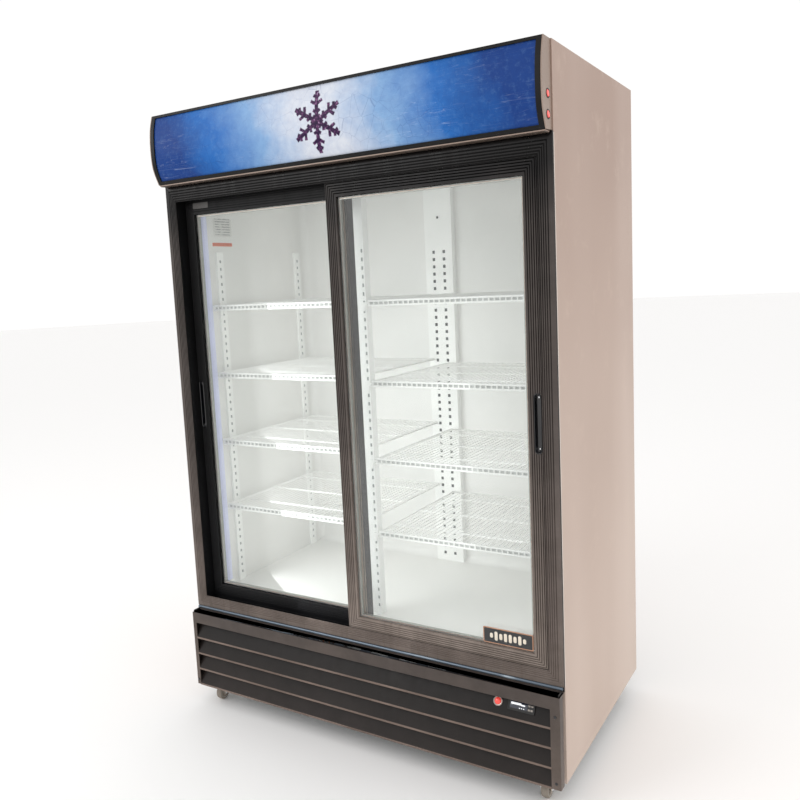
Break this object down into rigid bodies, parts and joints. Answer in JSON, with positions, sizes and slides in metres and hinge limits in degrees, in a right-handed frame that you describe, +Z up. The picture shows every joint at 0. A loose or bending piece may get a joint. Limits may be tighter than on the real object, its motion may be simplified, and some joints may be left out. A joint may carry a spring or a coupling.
{
  "type": "glass door merchandiser",
  "caption": "Upright refrigerated display cabinet with sliding glass doors, lit canopy, wire shelves, louvred base grille and swivel casters.",
  "frame": {"origin": "Bottom centre of the bounding box: on the floor, midway across the width and midway between the canopy's bulge and the back", "axes": "+Z up, +X to the right as seen from the front, +Y from the doors to the back"},
  "size_m": [1.326, 0.793, 2],
  "materials": {
    "cabinet_panel": "satin",
    "beige_steel": "satin",
    "white_liner": "satin",
    "black_frame": "satin",
    "black_plastic": "satin",
    "door_glass": "gloss",
    "white_wire": "satin",
    "blue_face": "gloss",
    "lamp_white": "gloss",
    "red_plastic": "gloss",
    "galvanised_steel": "satin",
    "bare_aluminium": "satin",
    "dark_machinery": "matte",
    "roller_nylon": "matte",
    "caster_tyre": "matte"
  },
  "bodies": {
    "root": {"outer_cabinet": "cabinet_panel", "inner_liner": "white_liner", "base_chassis": "galvanised_steel", "rear_service_grille": "galvanised_steel", "compressor": "dark_machinery", "condenser_coil": "dark_machinery", "condenser_fan_shroud": "galvanised_steel", "evaporator_coil": "bare_aluminium", "evaporator_cover": "white_liner", "frame_head": "black_frame", "frame_sill": "black_frame", "frame_jamb_left": "black_frame", "frame_jamb_right": "black_frame", "canopy_housing": "beige_steel", "canopy_bezel": "black_plastic", "canopy_face_panel": "blue_face", "canopy_end_cap_left": "beige_steel", "canopy_end_cap_right": "beige_steel", "canopy_lamp_tube": "lamp_white", "grille_panel": "black_frame", "pilot_lamp": "red_plastic", "temperature_controller": "black_plastic", "pilaster_centre_front": "white_wire", "pilaster_centre_rear": "white_wire", "pilaster_left_front": "white_wire", "pilaster_left_rear": "white_wire", "led_bar_left": "lamp_white", "shelf_left_1": "white_wire", "shelf_left_2": "white_wire", "shelf_left_3": "white_wire", "shelf_left_4": "white_wire", "pilaster_right_front": "white_wire", "pilaster_right_rear": "white_wire", "led_bar_right": "lamp_white", "shelf_right_1": "white_wire", "shelf_right_2": "white_wire", "shelf_right_3": "white_wire", "shelf_right_4": "white_wire"},
    "front_door": {"front_door_frame": "black_frame", "front_door_glass": "door_glass", "front_door_pull": "black_plastic"},
    "front_door_roller_meeting": {"front_door_roller_meeting": "roller_nylon"},
    "front_door_roller_outer": {"front_door_roller_outer": "roller_nylon"},
    "rear_door": {"rear_door_frame": "black_frame", "rear_door_glass": "door_glass", "rear_door_pull": "black_plastic"},
    "rear_door_roller_meeting": {"rear_door_roller_meeting": "roller_nylon"},
    "rear_door_roller_outer": {"rear_door_roller_outer": "roller_nylon"},
    "condenser_fan": {"condenser_fan_blades": "bare_aluminium"},
    "evaporator_fan": {"evaporator_fan_blades": "black_plastic"},
    "light_switch_upper": {"light_switch_upper": "red_plastic"},
    "light_switch_lower": {"light_switch_lower": "red_plastic"},
    "caster_fork_front_left": {"caster_fork_front_left": "galvanised_steel"},
    "caster_wheel_front_left": {"caster_wheel_front_left": "caster_tyre"},
    "caster_fork_front_right": {"caster_fork_front_right": "galvanised_steel"},
    "caster_wheel_front_right": {"caster_wheel_front_right": "caster_tyre"},
    "caster_fork_rear_left": {"caster_fork_rear_left": "galvanised_steel"},
    "caster_wheel_rear_left": {"caster_wheel_rear_left": "caster_tyre"},
    "caster_fork_rear_right": {"caster_fork_rear_right": "galvanised_steel"},
    "caster_wheel_rear_right": {"caster_wheel_rear_right": "caster_tyre"}
  },
  "joints": [
    {"name": "front_door_slide", "type": "slide", "parent": "root", "child": "front_door", "axis": [1, 0, 0], "range_m": [-0.585, 0]},
    {"name": "rear_door_slide", "type": "slide", "parent": "root", "child": "rear_door", "axis": [1, 0, 0], "range_m": [0, 0.585]},
    {"name": "front_door_roller_meeting_spin", "type": "hinge", "parent": "front_door", "child": "front_door_roller_meeting", "pos_m": [0.064, -0.3205, 0.3714], "axis": [0, 1, 0], "continuous": true},
    {"name": "front_door_roller_outer_spin", "type": "hinge", "parent": "front_door", "child": "front_door_roller_outer", "pos_m": [0.527, -0.3205, 0.3714], "axis": [0, 1, 0], "continuous": true},
    {"name": "rear_door_roller_meeting_spin", "type": "hinge", "parent": "rear_door", "child": "rear_door_roller_meeting", "pos_m": [-0.064, -0.2875, 0.3714], "axis": [0, 1, 0], "continuous": true},
    {"name": "rear_door_roller_outer_spin", "type": "hinge", "parent": "rear_door", "child": "rear_door_roller_outer", "pos_m": [-0.527, -0.2875, 0.3714], "axis": [0, 1, 0], "continuous": true},
    {"name": "condenser_fan_spin", "type": "hinge", "parent": "root", "child": "condenser_fan", "pos_m": [-0.36, -0.2155, 0.191], "axis": [0, 1, 0], "continuous": true},
    {"name": "evaporator_fan_spin", "type": "hinge", "parent": "root", "child": "evaporator_fan", "pos_m": [0, -0.1095, 1.793], "axis": [0, 0, 1], "continuous": true},
    {"name": "light_switch_upper_rock", "type": "hinge", "parent": "root", "child": "light_switch_upper", "pos_m": [0.655, -0.3575, 1.868], "axis": [0, 1, 0], "range_deg": [0, 12]},
    {"name": "light_switch_lower_rock", "type": "hinge", "parent": "root", "child": "light_switch_lower", "pos_m": [0.655, -0.3575, 1.819], "axis": [0, 1, 0], "range_deg": [0, 12]},
    {"name": "caster_front_left_swivel", "type": "hinge", "parent": "root", "child": "caster_fork_front_left", "pos_m": [-0.6, -0.2895, 0.059], "axis": [0, 0, 1], "continuous": true},
    {"name": "caster_front_left_roll", "type": "hinge", "parent": "caster_fork_front_left", "child": "caster_wheel_front_left", "pos_m": [-0.6, -0.3175, 0.025], "axis": [1, 0, 0], "continuous": true},
    {"name": "caster_front_right_swivel", "type": "hinge", "parent": "root", "child": "caster_fork_front_right", "pos_m": [0.6, -0.2895, 0.059], "axis": [0, 0, 1], "continuous": true},
    {"name": "caster_front_right_roll", "type": "hinge", "parent": "caster_fork_front_right", "child": "caster_wheel_front_right", "pos_m": [0.6, -0.3175, 0.025], "axis": [1, 0, 0], "continuous": true},
    {"name": "caster_rear_left_swivel", "type": "hinge", "parent": "root", "child": "caster_fork_rear_left", "pos_m": [-0.6, 0.3285, 0.059], "axis": [0, 0, 1], "continuous": true},
    {"name": "caster_rear_left_roll", "type": "hinge", "parent": "caster_fork_rear_left", "child": "caster_wheel_rear_left", "pos_m": [-0.6, 0.3005, 0.025], "axis": [1, 0, 0], "continuous": true},
    {"name": "caster_rear_right_swivel", "type": "hinge", "parent": "root", "child": "caster_fork_rear_right", "pos_m": [0.6, 0.3285, 0.059], "axis": [0, 0, 1], "continuous": true},
    {"name": "caster_rear_right_roll", "type": "hinge", "parent": "caster_fork_rear_right", "child": "caster_wheel_rear_right", "pos_m": [0.6, 0.3005, 0.025], "axis": [1, 0, 0], "continuous": true}
  ],
  "couplings": [
    {"joint": "front_door_roller_meeting_spin", "follows": "front_door_slide", "rad_per_m": 100},
    {"joint": "front_door_roller_outer_spin", "follows": "front_door_slide", "rad_per_m": 100},
    {"joint": "rear_door_roller_meeting_spin", "follows": "rear_door_slide", "rad_per_m": 100},
    {"joint": "rear_door_roller_outer_spin", "follows": "rear_door_slide", "rad_per_m": 100}
  ]
}
